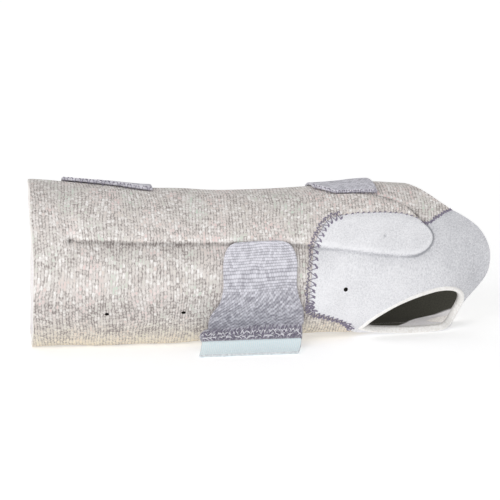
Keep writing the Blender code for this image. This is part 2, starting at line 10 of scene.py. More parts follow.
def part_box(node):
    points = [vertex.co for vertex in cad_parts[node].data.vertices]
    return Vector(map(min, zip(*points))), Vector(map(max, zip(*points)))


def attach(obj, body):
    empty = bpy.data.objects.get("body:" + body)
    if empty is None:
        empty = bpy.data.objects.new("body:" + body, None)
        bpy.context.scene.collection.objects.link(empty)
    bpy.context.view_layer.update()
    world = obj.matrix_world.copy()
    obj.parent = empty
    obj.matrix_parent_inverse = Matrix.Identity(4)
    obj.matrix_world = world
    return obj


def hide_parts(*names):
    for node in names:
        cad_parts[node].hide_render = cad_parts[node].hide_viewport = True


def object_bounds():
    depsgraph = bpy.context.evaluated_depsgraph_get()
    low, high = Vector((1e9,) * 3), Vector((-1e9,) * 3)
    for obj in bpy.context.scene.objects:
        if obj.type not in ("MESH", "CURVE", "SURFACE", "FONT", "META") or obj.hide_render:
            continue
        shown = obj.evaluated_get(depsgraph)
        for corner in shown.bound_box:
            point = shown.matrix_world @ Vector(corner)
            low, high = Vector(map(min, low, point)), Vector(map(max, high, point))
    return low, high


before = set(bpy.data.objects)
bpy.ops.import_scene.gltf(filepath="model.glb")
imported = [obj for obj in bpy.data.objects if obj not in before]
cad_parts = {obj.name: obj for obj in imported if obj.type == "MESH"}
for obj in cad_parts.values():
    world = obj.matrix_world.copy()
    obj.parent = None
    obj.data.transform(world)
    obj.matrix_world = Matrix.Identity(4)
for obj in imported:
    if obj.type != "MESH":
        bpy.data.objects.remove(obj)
cadLow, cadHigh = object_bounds()
bpy.ops.object.select_all(action="DESELECT")
print("frame loaded")

# A place on the brace is a length along the sleeve from the cuff, in metres, and an angle
# around it in degrees: 0 at the front, 90 at the crest, 180 at the back, 270 on the floor.

form = {
    "lengthShare": 0.9852,      # of the brace's whole reach
    "cuffLean": 0.00017,
    "handLength": 0.118,
    "bend": 14.0,
    "wall": 0.0035,
    "squareness": 2.35,
    "pressed": 0.003,           # flattened where it lies
    "pressBlend": 0.0018,
    "webCurl": 0.021,           # the web beside the thumb turns inwards
    "webAround": -50.0,
    "webSpread": 60.0,
    "webFrom": 0.90,
    "webGrowth": 1.3,
    "webDraw": 0.50,
}
sections = {
    "along": [0.00, 0.20, 0.40, 0.56, 0.72, 0.85, 1.00],
    "height": [1.000, 0.945, 0.915, 0.915, 0.940, 0.925, 0.895],
    "depth": [1.000, 0.985, 0.935, 0.865, 0.785, 0.710, 0.600],
    "rise": [0.000, 0.000, 0.014, 0.040, 0.022, 0.000, 0.000],
}
rim = {
    "around": [-90, -75, -60, -45, -30, 0, 25, 50, 75, 100, 140, 180, 205, 225, 245, 260, 270],
    "reach": [0.885, 0.920, 0.953, 0.972, 0.983, 1.000, 0.972, 0.893, 0.849, 0.830, 0.850, 0.940,
              0.995, 0.995, 0.965, 0.915, 0.885],
}
sleeveLow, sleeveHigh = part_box("sleeve")
sleeveLength = (cadHigh.x - cadLow.x) * form["lengthShare"]
cuffHeight = sleeveHigh.z
cuffDepth = sleeveHigh.y - sleeveLow.y
braceX = sleeveLow.x + form["cuffLean"]
braceY = (sleeveLow.y + sleeveHigh.y) / 2
wristAt = sleeveLength - form["handLength"]


def smoothCurve(table, x, y, at):
    # a smooth line through two columns of a table
    places, values = np.array(table[x], float), np.array(table[y], float)
    at = np.clip(np.asarray(at, float), places[0], places[-1])
    slopes = np.gradient(values, places)
    low = np.clip(np.searchsorted(places, at, side="right") - 1, 0, len(places) - 2)
    step = places[low + 1] - places[low]
    t = (at - places[low]) / step
    start = (2 * t**3 - 3 * t**2 + 1) * values[low] + (t**3 - 2 * t**2 + t) * step * slopes[low]
    end = (3 * t**2 - 2 * t**3) * values[low + 1] + (t**3 - t**2) * step * slopes[low + 1]
    return start + end


def smoothStep(value):
    t = np.clip(value, 0.0, 1.0)
    return t * t * (3 - 2 * t)


def signedPower(value, power):
    return np.sign(value) * np.abs(value) ** power


def layOnFloor(height):
    blend = form["pressBlend"]
    bent = (height + blend) ** 2 / (4 * blend)
    return np.where(height < -blend, 0.0, np.where(height < blend, bent, height))


def bareSkin(along, around):
    # the sleeve's smooth outside
    along, around = np.broadcast_arrays(np.asarray(along, float), np.asarray(around, float))
    share = along / sleeveLength
    angle = np.radians(around)
    height = cuffHeight * smoothCurve(sections, "along", "height", share)
    depth = cuffDepth * smoothCurve(sections, "along", "depth", share)
    rise = cuffHeight * np.maximum(smoothCurve(sections, "along", "rise", share), 0.0)     # off the floor
    radius = (sleeveLength - wristAt) / math.radians(form["bend"])
    turn = np.maximum(along - wristAt, 0.0) / radius
    out = depth / 2 * signedPower(np.cos(angle), 2 / form["squareness"])
    tall = (height - rise + form["pressed"]) / 2
    up = height - rise - tall + tall * signedPower(np.sin(angle), 2 / form["squareness"])
    fromWeb = (around - form["webAround"] + 180) % 360 - 180
    curl = form["webCurl"] * smoothStep(1 - np.abs(fromWeb) / form["webSpread"])
    curl = curl * np.maximum((share - form["webFrom"]) / (1 - form["webFrom"]), 0.0) ** form["webGrowth"]
    x = braceX + np.minimum(along, wristAt) + (radius + out) * np.sin(turn) - form["webDraw"] * curl
    y = braceY + radius * (1 - np.cos(turn)) - out * np.cos(turn) + curl
    return np.stack([x, y, rise + layOnFloor(up)], axis=-1)


def skinNormal(along, around):
    ahead = bareSkin(along + 0.0004, around) - bareSkin(along - 0.0004, around)
    across = bareSkin(along, around + 0.6) - bareSkin(along, around - 0.6)
    normal = np.cross(ahead, across)
    return normal / np.linalg.norm(normal, axis=-1, keepdims=True)


def rimReach(around):
    return sleeveLength * smoothCurve(rim, "around", "reach", (np.asarray(around, float) + 90) % 360 - 90)


ring = bareSkin(wristAt, np.linspace(0, 360, 73))
degree = np.linalg.norm(np.diff(ring, axis=0), axis=1).sum() / 360     # length of one degree around

# Stay pocket, raised along the palm side

pocket = {
    "raise": 0.0018,
    "start": 0.0185,
    "shortOfRim": 0.0345,
    "softBlend": 0.0050,
    "sleeveBlend": 0.0030,
    "palmBlend": 0.0019,
    "crispFrom": 0.143,
    "crease": 0.00045,          # groove beside the raised edge
    "creaseWidth": 0.0011,
    "fadeIn": 0.012,
    "dartDepth": 0.0012,
    "dartSize": 0.0017,
}
pocketOutline = {
    "along": [0.00, 0.22, 0.44, 0.62, 0.69, 0.76, 0.835, 0.900, 0.950, 0.983, 0.998, 0.993, 0.977,
              0.958, 0.934, 0.897, 0.858, 0.77, 0.64, 0.44, 0.22, 0.00],
    "around": [21.5, 22.0, 21.5, 18.0, 14.3, 11.3, 8.2, 6.8, 7.2, 11.5, 18.0, 24.0, 30.0,
               36.5, 45.0, 53.0, 58.0, 64.0, 68.5, 74.0, 76.0, 76.0],
}
pocketEnd = sleeveLength - pocket["shortOfRim"]


def evenPath(along, around, shares):
    # points spaced evenly on a smooth line through the places
    table = {"knot": np.arange(len(along)), "along": along, "around": around}
    fine = np.linspace(0, len(along) - 1, 40 * len(along))
    line = np.stack([smoothCurve(table, "knot", key, fine) for key in ("along", "around")], axis=-1)
    run = np.concatenate([[0.0], np.cumsum(np.hypot(np.diff(line[:, 0]), np.diff(line[:, 1]) * degree))])
    return np.stack([np.interp(shares, run / run[-1], line[:, k]) for k in (0, 1)], axis=-1)


def treeOf(path):
    tree = KDTree(len(path))
    for k, (along, around) in enumerate(path):
        tree.insert((along, around * degree, 0), k)
    tree.balance()
    return tree


pocketPath = evenPath(pocket["start"] + (pocketEnd - pocket["start"]) * np.array(pocketOutline["along"]),
                      pocketOutline["around"], np.linspace(0, 1, 900))
pocketTree = treeOf(np.concatenate([pocketPath, np.linspace(pocketPath[-1], pocketPath[0], 90)[1:-1]]))
pocketCorners = pocketPath[::6]


def insidePocket(along, around):
    # distance in from the pocket's edge, negative outside it
    along, around = np.broadcast_arrays(np.asarray(along, float), np.asarray(around, float))
    x, y = along.ravel(), ((around + 90) % 360 - 90).ravel()
    away = np.array([pocketTree.find((a, b * degree, 0))[2] for a, b in zip(x, y)])
    within = np.zeros(len(x), bool)
    for (ax, ay), (bx, by) in zip(pocketCorners, np.roll(pocketCorners, -1, axis=0)):
        if ay != by:
            within ^= ((ay > y) != (by > y)) & (x < ax + (y - ay) * (bx - ax) / (by - ay))
    return np.where(within, away, -away).reshape(along.shape)


# Palm panel: its seam from the floor side up

palm = {
    "length": 0.100,
    "top": 40.0,
    "notch": 0.0195,
    "gap": 0.0002,
    "rows": 104,
    "columns": 116,
}
palmStart = sleeveLength - palm["length"]
palmUnder = {"start": [0.25, 0.36, 0.53, 0.71], "around": [-66, -80, -87, -91]}
palmLeft = {
    "notch": [1.28, 1.26, 1.00, 0.50, 0.06, 0.00, 0.05, 0.10, 0.18, 0.36],
    "around": [-66, -55.5, -46, -37, -30, -16, 0, 14.5, 22, 31],
}
palmTop = {
    "start": [0.07, 0.10, 0.165, 0.32, 0.485, 0.565, 0.63, 0.705, 0.79],
    "rise": [-9.0, -4.0, -0.5, 0.0, -1.0, -5.0, -9.5, -2.5, 4.5],
}


def moveAside(path, distance):
    flat = path * [1.0, degree]
    ahead = np.gradient(flat, axis=0)
    side = np.stack([-ahead[:, 1], ahead[:, 0]], axis=-1)
    side /= np.maximum(np.linalg.norm(side, axis=1, keepdims=True), 1e-9)
    return (flat + side * distance) / [1.0, degree]


def palmOutline(fine, grow=0.0):
    under = evenPath(palmStart + palm["length"] * np.array(palmUnder["start"]), palmUnder["around"], fine)
    left = evenPath(palmStart + palm["notch"] * np.array(palmLeft["notch"]), palmLeft["around"], fine)
    top = evenPath(palmStart + palm["length"] * np.array(palmTop["start"]),
                   palm["top"] + np.array(palmTop["rise"]), fine)
    lowCorner = left[0] + grow * np.array([-1.0, -1.0 / degree])
    highCorner = left[-1] + grow * np.array([-1.0, 1.0 / degree])
    under, left, top = moveAside(under, -grow), moveAside(left, grow), moveAside(top, grow)
    under[0] = left[0] = lowCorner
    top[0] = left[-1] = highCorner
    rimAround = np.linspace(under[-1, 1], top[-1, 1], len(fine))
    edge = np.stack([rimReach(rimAround), rimAround], axis=-1)
    under[-1], top[-1] = edge[0], edge[-1]
    return under, left, top, edge


def palmPlaces(s, t, grow=0.0):
    # s runs from the seam to the rim, and t from the floor up
    fine = np.linspace(0, 1, 161)
    under, left, top, edge = palmOutline(fine, grow)

    def read(path, share):
        return np.stack([np.interp(share, fine, path[:, k]) for k in (0, 1)], axis=-1)

    sCol, tCol = s[..., None], t[..., None]
    across = (1 - sCol) * read(left, t) + sCol * read(edge, t)
    upward = (1 - tCol) * read(under, s) + tCol * read(top, s)
    corners = ((1 - sCol) * (1 - tCol) * left[0] + sCol * (1 - tCol) * edge[0]
               + (1 - sCol) * tCol * left[-1] + sCol * tCol * edge[-1])
    places = across + upward - corners
    return places[..., 0], places[..., 1]


# The skin with all its relief

dents = {
    "size": 0.00016,
    "waves": [(61, 43, 0.4), (47, 90, 2.1), (83, 35, 4.4), (35, 70, 1.3), (110, 58, 5.2)],
    "seamDepth": 0.0007,
    "seamWidth": 0.0016,
    "puckerAlong": 0.1815,
    "puckerAround": 20.5,
    "puckerSize": 0.0011,
    "puckerDepth": 0.0005,
}
seamTree = treeOf(np.concatenate(palmOutline(np.linspace(0, 1, 161))[:3]))


def softRelief(along, around):
    # what the straps follow too: the raised pocket and shallow dents
    raised = pocket["raise"] * smoothStep(insidePocket(along, around) / pocket["softBlend"] + 0.5)
    run, girth = np.asarray(along) * 1000, np.radians(around)
    for wave, turns, phase in dents["waves"]:
        raised = raised + dents["size"] * np.sin(2 * np.pi * run / wave + phase + np.sin(girth * (turns // 20)))
    return raised


def relief(along, around):
    along, around = np.broadcast_arrays(np.asarray(along, float), np.asarray(around, float))
    inside = insidePocket(along, around)
    crisp = smoothStep((along - pocket["crispFrom"]) / 0.02)
    blend = pocket["sleeveBlend"] + (pocket["palmBlend"] - pocket["sleeveBlend"]) * crisp
    soft = smoothStep(inside / pocket["softBlend"] + 0.5)
    sharp = smoothStep(inside / blend + 0.5)
    fade = smoothStep((along - pocket["start"]) / pocket["fadeIn"])
    lower = smoothStep((55 - around) / 10) * (1 - crisp) + crisp
    groove = pocket["crease"] * np.exp(-((inside + blend / 2) / pocket["creaseWidth"]) ** 2) * lower
    raised = softRelief(along, around) - pocket["raise"] * soft
    raised = raised + pocket["raise"] * (sharp * lower + soft * (1 - lower)) * fade - groove
    dart = np.hypot(along - pocket["start"], (around - 21.5) * degree) / pocket["dartSize"]
    raised = raised - pocket["dartDepth"] * np.exp(-dart**2)
    pucker = np.hypot(along - dents["puckerAlong"], (around - dents["puckerAround"]) * degree)
    raised = raised - dents["puckerDepth"] * np.exp(-(pucker / dents["puckerSize"]) ** 2)
    flat = np.stack([along, (around + 90) % 360 * degree - 90 * degree], axis=-1).reshape(-1, 2)
    away = np.array([seamTree.find((a, b, 0))[2] for a, b in flat]).reshape(along.shape)
    return raised - dents["seamDepth"] * np.exp(-(away / dents["seamWidth"]) ** 2)


def skin(along, around, lift=0.0):
    along, around, lift = np.broadcast_arrays(along, around, lift)
    return bareSkin(along, around) + skinNormal(along, around) * (relief(along, around) + lift)[..., None]


def strapSkin(along, around, lift):
    along, around, lift = np.broadcast_arrays(along, around, lift)
    return bareSkin(along, around) + skinNormal(along, around) * (softRelief(along, around) + lift)[..., None]


def lining(along, around, depth=form["wall"]):
    return bareSkin(along, around) - skinNormal(along, around) * depth


# Shader maths

class Wire:
    # wraps a socket, so that sums written with it make Math nodes
    def __init__(self, tree, socket=None):
        self.tree = tree
        self.socket = socket

    def node(self, kind, settings=None, values=None, out=0):
        made = self.tree.nodes.new(kind)
        settings = dict(settings or {})
        stops = settings.pop("stops", None)
        for key, value in settings.items():
            setattr(made, key, value)
        if stops:
            while len(made.color_ramp.elements) < len(stops):
                made.color_ramp.elements.new(1.0)
            for element, (place, colour) in zip(made.color_ramp.elements, stops):
                element.position = place
                element.color = colour
        for key, value in (values or {}).items():
            if isinstance(value, Wire):
                self.tree.links.new(value.socket, made.inputs[key])
            else:
                made.inputs[key].default_value = value
        return Wire(self.tree, made.outputs[out])

    def maths(self, operation, *values):
        return self.node("ShaderNodeMath", {"operation": operation}, dict(enumerate(values)))

    def __add__(self, other):
        return self.maths("ADD", self, other)

    def __sub__(self, other):
        return self.maths("SUBTRACT", self, other)

    def __rsub__(self, other):
        return self.maths("SUBTRACT", other, self)

    def __mul__(self, other):
        return self.maths("MULTIPLY", self, other)

    def __truediv__(self, other):
        return self.maths("DIVIDE", self, other)

    def __pow__(self, other):
        return self.maths("POWER", self, other)

    __radd__ = __add__
    __rmul__ = __mul__

    def smooth(self, low, high):
        return self.node("ShaderNodeMapRange", {"interpolation_type": "SMOOTHSTEP"},
                         {"Value": self, "From Min": low, "From Max": high})

    def mix(self, low, high):
        return self.node("ShaderNodeMix", {"data_type": "RGBA"}, {0: self, 6: low, 7: high}, out=2)

    def vector(self, x, y, z=0.0):
        return self.node("ShaderNodeCombineXYZ", None, {0: x, 1: y, 2: z})

    def noise(self, where, scale, detail=2.0, roughness=0.5):
        return self.node("ShaderNodeTexNoise", None,
                         {"Vector": where, "Scale": scale, "Detail": detail, "Roughness": roughness})

    def random(self, where):
        return self.node("ShaderNodeTexWhiteNoise", {"noise_dimensions": "2D"}, {"Vector": where})


def rgb(red, green, blue):
    # a linear colour from the values that a screen shows
    linear = [((c / 255 + 0.055) / 1.055) ** 2.4 if c > 10 else c / 255 / 12.92 for c in (red, green, blue)]
    return (*linear, 1.0)


def startMaterial(name, roughness, sheen=0.0):
    made = bpy.data.materials.new(name)
    made.use_nodes = True
    tree = made.node_tree
    shader = tree.nodes["Principled BSDF"]
    shader.inputs["Roughness"].default_value = roughness
    shader.inputs["Sheen Weight"].default_value = sheen
    shader.inputs["Sheen Roughness"].default_value = 0.4
    shader.inputs["Specular IOR Level"].default_value = 0.2
    return made, tree, shader


def finish(tree, shader, colour, height, distance, strength=1.0):
    tree.links.new(colour.socket, shader.inputs["Base Color"])
    bump = colour.node("ShaderNodeBump", None,
                       {"Strength": strength, "Distance": distance, "Height": height})
    tree.links.new(bump.socket, shader.inputs["Normal"])


def clothPlace(tree):
    # the piece's own map, in millimetres along and around
    wire = Wire(tree)
    place = wire.node("ShaderNodeUVMap", {"uv_map": "place"})
    split = tree.nodes.new("ShaderNodeSeparateXYZ")
    tree.links.new(place.socket, split.inputs[0])
    return Wire(tree, split.outputs[0]) * 1000, Wire(tree, split.outputs[1]) * 1000


knitLook = {
    "rib": 1.65,
    "loop": 1.7,
    "dark": rgb(152, 144, 141),
    "middle": rgb(220, 214, 210),
    "lowMiddle": rgb(222, 214, 198),
    "light": rgb(250, 248, 246),
    "pink": rgb(236, 208, 206),
    "green": rgb(206, 220, 206),
    "cream": rgb(240, 226, 194),
    "bump": 0.00016,
}


def paintedCreaseLight(wire):
    # painted shade where the cloth folds in (above 0) and painted highlight where it stands out (below 0)
    return wire.node("ShaderNodeAttribute", {"attribute_name": "crease"}, None, out=2)


def melangeKnit():
    look = knitLook
    made, tree, shader = startMaterial("melangeKnit", 0.92, 0.1)
    along, around = clothPlace(tree)
    wire = Wire(tree)
    sway = wire.noise(wire.vector(along / 30, around / 30), 1.0, 1.0) * 7
    ribs = (along + sway) / look["rib"]
    rib = ribs.maths("FLOOR", ribs)
    within = ribs - rib
    crest = within * (1 - within) * 4
    shift = wire.random(wire.vector(rib, 3.0))
    loops = around / look["loop"] + shift * 7
    loop = loops.maths("FLOOR", loops)
    dashCrest = (loops - loop) * (1 - (loops - loop)) * 4
    cell = wire.random(wire.vector(rib, loop))
    fleck = wire.noise(wire.vector(along / 0.65, around / 1.15), 1.0, 2.0, 0.65)
    blotch = wire.noise(wire.vector(along / 10, around / 10), 1.0, 2.0)
    shade = crest * 0.18 + crest * dashCrest * 0.14 + cell * 0.34 + fleck * 1.30 + blotch * 0.30 - 0.76
    # painted shade on the lower front of the sleeve, below the bright middle
    paintedLowShade = around.smooth(-2, -13) * around.smooth(-36, -25)
    # painted crease shade and highlight, and the painted lower shade, shift the knit's tone
    paintedShading = paintedCreaseLight(wire)
    shade = shade - paintedShading * 0.18 - paintedLowShade * 0.08
    tint = wire.noise(wire.vector(along / 18, around / 26), 1.0, 1.5)
    hue = tint.smooth(0.36, 0.64).mix(look["green"], look["pink"])
    light = wire.random(wire.vector(loop, rib)).smooth(0.15, 0.75).mix(hue, look["light"])
    yellow = around.smooth(-14, -40) * 0.75
    light = yellow.mix(light, look["cream"])
    low = shade.smooth(0.02, 0.42).mix(look["dark"], yellow.mix(look["middle"], look["lowMiddle"]))
    colour = shade.smooth(0.34, 0.80).mix(low, light)
    # painted shading again, scaling the colour: crease shade and lower shade darken it, crease highlight lightens
    # it
    value = 1 - paintedShading * 0.55 - paintedLowShade * 0.08
    value = value.maths("MINIMUM", value.maths("MAXIMUM", value, 0.35), 1.04)
    colour = wire.node("ShaderNodeHueSaturation", None, {"Value": value, "Color": colour})
    height = crest * 0.5 + dashCrest * 0.4 + fleck * 0.4
    finish(tree, shader, colour, height, look["bump"])
    return made


palmLook = {
    "dark": rgb(166, 167, 173),
    "light": rgb(246, 246, 249),
    "bump": 0.00012,
}


def brushedCloth(name, dark, light, bump):
    made, tree, shader = startMaterial(name, 0.9, 0.15)
    along, around = clothPlace(tree)
    wire = Wire(tree)
    fine = wire.noise(wire.vector(along / 0.9, around / 0.9), 1.0, 4.0, 0.75)
    broad = wire.noise(wire.vector(along / 14, around / 14), 1.0, 2.0)
    speckle = wire.random(wire.vector((along / 0.5).maths("FLOOR", along / 0.5),
                                      (around / 0.5).maths("FLOOR", around / 0.5)))
    shade = fine * 1.1 + broad * 0.4 + speckle * 0.25 - 0.35
    # painted shade: darker towards the hand end, where the panel turns away from the light, and lighter by the
    # seam
    shade = shade - along.smooth(190, 236) * 0.34 - along.smooth(144, 178) * 0.12 + 0.10
    # painted crease shade and highlight
    shade = (shade - paintedCreaseLight(wire) * 1.1).smooth(-0.5, 0.95)
    finish(tree, shader, shade.mix(dark, light), fine + speckle * 0.3, bump)
    return made


strapLook = {
    "rib": 1.40,
    "leaningRib": 1.9,
    "dark": rgb(134, 132, 142),
    "light": rgb(230, 229, 237),
    "bump": 0.00018,
}


def strapKnit():
    look = strapLook
    made, tree, shader = startMaterial("strapKnit", 0.9, 0.12)
    across, down = clothPlace(tree)
    wire = Wire(tree)
    wobble = wire.noise(wire.vector(across / 16, down / 16), 1.0, 1.0) * 2.4
    lean = down.smooth(19, 27)
    rows = (down + wobble) / look["rib"]
    leaning = (down * 0.72 + across * 0.70 + wobble) / look["leaningRib"]
    row = rows.maths("FLOOR", rows)
    within, leaningWithin = rows - row, leaning - leaning.maths("FLOOR", leaning)
    leaningCrest = leaningWithin * (1 - leaningWithin) * 2.8 + 0.2
    crest = within * (1 - within) * 4 * (1 - lean) + leaningCrest * lean
    dashes = across / 1.5 + row * 0.5
    dash = dashes.maths("FLOOR", dashes)
    dashCrest = (dashes - dash) * (1 - (dashes - dash)) * 4
    cell = wire.random(wire.vector(row, dash))
    blur = wire.noise(wire.vector(across / 5, down / 5), 1.0, 3.0, 0.6)
    # darker down the strap: painted shade, partly the strap's own tone
    shade = crest * 0.38 + dashCrest * 0.20 + cell * 0.36 + blur * 0.4 - 0.14 - down.smooth(4, 44) * 0.31
    shade = shade.smooth(-0.05, 0.98)
    height = crest * 0.7 + dashCrest * 0.4
    finish(tree, shader, shade.mix(look["dark"], look["light"]), height, look["bump"])
    return made


tabLook = {
    "rib": 1.1,
    "dark": rgb(224, 245, 252),
    "light": rgb(244, 254, 255),
    "paintedGlow": 0.07,
    "bump": 0.00008,
}


def hookTape():
    look = tabLook
    made, tree, shader = startMaterial("hookTape", 0.62)
    across, down = clothPlace(tree)
    wire = Wire(tree)
    within = (across / look["rib"]).maths("FRACT", across / look["rib"])
    crest = within * (1 - within) * 4
    hooks = wire.random(wire.vector((across / 0.55).maths("FLOOR", across / 0.55),
                                    (down / 0.7).maths("FLOOR", down / 0.7)))
    shade = (crest * 0.75 + hooks * 0.3 - 0.05).smooth(0.0, 1.0)
    finish(tree, shader, shade.mix(look["dark"], look["light"]), crest + hooks * 0.5, look["bump"])
    shader.inputs["Emission Color"].default_value = look["light"]       # painted light: the tape glows faintly so that it looks brighter
    shader.inputs["Emission Strength"].default_value = look["paintedGlow"]
    return made


def plainFibre(name, dark, light, scale, roughness=0.85, bump=0.00012):
    # thread, foam and binding: a fine noise on the object's own coordinates
    made, tree, shader = startMaterial(name, roughness)
    wire = Wire(tree)
    place = wire.node("ShaderNodeTexCoord", None, None, out=3)
    fine = wire.noise(place, scale, 3.0, 0.6)
    finish(tree, shader, fine.smooth(0.3, 0.7).mix(dark, light), fine, bump)
    return made


knit = melangeKnit()
brushed = brushedCloth("brushedPalm", palmLook["dark"], palmLook["light"], palmLook["bump"])


def liningKnit():
    # pale on the floor side, with a painted shadow at the back: dark olive where shade falls inside the tube
    made, tree, shader = startMaterial("liningKnit", 0.95)
    along, around = clothPlace(tree)
    wire = Wire(tree)
    fine = wire.noise(wire.vector(along / 0.8, around / 0.8), 1.0, 3.0, 0.7)
    pale = fine.smooth(0.2, 0.8).mix(rgb(226, 222, 223), rgb(250, 248, 249))
    # dark olive: the painted shadow's colour
    dark = fine.smooth(0.2, 0.8).mix(rgb(58, 57, 51), rgb(80, 79, 71))
    inward = liningShadowAndGlow["rimAt"] - along
    edge = inward * liningShadowAndGlow["slope"] + inward * inward * liningShadowAndGlow["curve"] + liningShadowAndGlow["edgeAtRim"]
    edge = edge.maths("MINIMUM", edge, liningShadowAndGlow["lastEdge"])
    around = around + around.maths("LESS_THAN", around, liningShadowAndGlow["front"]) * (360000 * degree)
    # the painted shadow: over the back from the crest, fading out near the cuff's opening, and ending at a
    # slanting shadow edge
    back = around.smooth(liningShadowAndGlow["crest"], liningShadowAndGlow["crest"] + 8) * along.smooth(30, 80)
    back = back * (1 - (around - edge).smooth(-1.0, 1.5))
    colour = back.mix(pale, dark)
    finish(tree, shader, colour, fine, 0.00008)
    tree.links.new(colour.socket, shader.inputs["Emission Color"])     # painted light: the lining glows, lifting it in the tube's shade
    shader.inputs["Emission Strength"].default_value = liningShadowAndGlow["paintedGlow"]
    return made


liningShadowAndGlow = {      # the painted shadow's place, in mm, and the painted glow
    "crest": 52.0,
    "edgeAtRim": 149.2,
    "rimAt": 240.6,
    "slope": 0.27,
    "curve": 0.012,
    "lastEdge": 196.0,
    "front": -38.0,
    "paintedGlow": 0.14,
}
liningCloth = liningKnit()
foam = plainFibre("foamEdge", rgb(232, 227, 222), rgb(252, 249, 245), 1400)
binding = plainFibre("holeBinding", rgb(240, 237, 233), rgb(254, 253, 251), 900)
strapCloth = strapKnit()
tape = hookTape()
tapeEdge = plainFibre("tapeEdge", rgb(196, 202, 206), rgb(226, 231, 233), 900)
darkThread = plainFibre("darkThread", rgb(108, 100, 120), rgb(166, 160, 176), 1800)
paleThread = plainFibre("paleThread", rgb(218, 215, 224), rgb(252, 251, 254), 1800)
# the vents' cut walls: painted shade, a dark colour standing in for the shade inside the holes
paintedVentShade = plainFibre("paintedVentShadow", rgb(34, 30, 28), rgb(58, 54, 50), 900)
print("materials made")


# Making meshes

def newPiece(name, points, faces, materials, uv=None, faceMaterials=None, merge=False):
    mesh = bpy.data.meshes.new(name)
    mesh.from_pydata([tuple(p) for p in points], [], faces)
    for each in materials:
        mesh.materials.append(each)
    if faceMaterials is not None:
        mesh.polygons.foreach_set("material_index", faceMaterials)
    if uv is not None:
        layer = mesh.uv_layers.new(name="place")
        corners = np.zeros(len(mesh.loops), np.int32)
        mesh.loops.foreach_get("vertex_index", corners)
        layer.data.foreach_set("uv", uv[corners].astype(np.float32).ravel())
    bm = bmesh.new()
    bm.from_mesh(mesh)
    if merge:
        bmesh.ops.remove_doubles(bm, verts=bm.verts, dist=1e-6)
    bmesh.ops.recalc_face_normals(bm, faces=bm.faces)
    bm.to_mesh(mesh)
    bm.free()
    mesh.shade_smooth()
    piece = bpy.data.objects.new(name, mesh)
    bpy.context.scene.collection.objects.link(piece)
    return piece


edgeProfile = {"share": [0.0, 0.12, 0.34, 0.66, 0.88, 1.0], "bulge": [0.0, 0.55, 0.95, 0.95, 0.55, 0.0]}


def wall(name, places, outside, inside, rows, columns, materials, tube=False, bulge=0.0004, uvScale=None):
    # a closed wall between two surfaces, with rounded edges. places gives two values for
    # two shares, and the surfaces read those.
    s, t = np.meshgrid(np.linspace(0, 1, rows + 1), np.linspace(0, 1, columns + 1), indexing="ij")
    first, second = places(s, t)
    outer = outside(first, second).reshape(-1, 3)
    inner = inside(first, second).reshape(-1, 3)
    scale = uvScale or (1.0, degree)
    flat = np.stack([first * scale[0], second * scale[1]], axis=-1).reshape(-1, 2)
    n = len(outer)
    index = np.arange(n).reshape(rows + 1, columns + 1)
    quads = np.stack([index[:-1, :-1], index[1:, :-1], index[1:, 1:], index[:-1, 1:]], axis=-1).reshape(-1, 4)
    points, uv = [outer, inner], [flat, flat]
    faces = [quads, quads[:, ::-1] + n]
    kinds = [np.zeros(len(quads)), np.ones(len(quads))]
    if tube:
        edges = [(index[0], index[1]), (index[-1], index[-2])]
    else:
        loop = np.concatenate([index[0, :-1], index[:-1, -1], index[-1, :0:-1], index[:0:-1, 0]])
        near = np.concatenate([index[1, :-1], index[:-1, -2], index[-2, :0:-1], index[:0:-1, 1]])
        loop, near = np.append(loop, loop[0]), np.append(near, near[0])
        edges = [(loop, near)]
    count = 2 * n
    for loop, near in edges:
        outward = outer[loop] - outer[near]
        outward /= np.linalg.norm(outward, axis=1, keepdims=True)
        rings = [loop]
        for share, swell in list(zip(edgeProfile["share"], edgeProfile["bulge"]))[1:-1]:
            points.append(outer[loop] * (1 - share) + inner[loop] * share + outward * bulge * swell)
            uv.append(flat[loop] + [share * 0.002, 0])
            rings.append(np.arange(count, count + len(loop)))
            count += len(loop)
        rings.append(loop + n)
        for a, b in zip(rings[:-1], rings[1:]):
            strip = np.stack([a[:-1], a[1:], b[1:], b[:-1]], axis=-1)
            faces.append(strip)
            kinds.append(np.full(len(strip), 2))
    return newPiece(name, np.concatenate(points), np.concatenate(faces).tolist(), materials,
                    np.concatenate(uv), np.concatenate(kinds).astype(np.int32), merge=True)


def ringPlug(name, outerRings, innerRings, materials, kind=2):
    # closed plugs between pairs of rings, to cut a hole with
    points, faces = [], []
    for outer, inner in zip(outerRings, innerRings):
        n, base = len(outer), len(points)
        points += [*outer, *inner, outer.mean(axis=0), inner.mean(axis=0)]
        for k in range(n):
            j = (k + 1) % n
            faces += [(base + k, base + j, base + n + j, base + n + k),
                      (base + k, base + j, base + 2 * n), (base + n + k, base + n + j, base + 2 * n + 1)]
    kinds = np.full(len(faces), kind, np.int32)
    return newPiece(name, points, faces, materials, faceMaterials=kinds)


def cut(piece, cutter):
    bpy.ops.object.select_all(action="DESELECT")
    piece.select_set(True)
    bpy.context.view_layer.objects.active = piece
    step = piece.modifiers.new("cut", "BOOLEAN")
    step.operation = "DIFFERENCE"
    step.solver = "EXACT"
    step.object = cutter
    bpy.ops.object.modifier_apply(modifier="cut")
    bpy.data.objects.remove(cutter, do_unlink=True)


def smoothByAngle(piece, angle=40):
    bpy.ops.object.select_all(action="DESELECT")
    piece.select_set(True)
    bpy.context.view_layer.objects.active = piece
    bpy.ops.object.shade_smooth_by_angle(angle=math.radians(angle))


def bell(value, centre, width):
    return np.exp(-((value - centre) / width) ** 2)


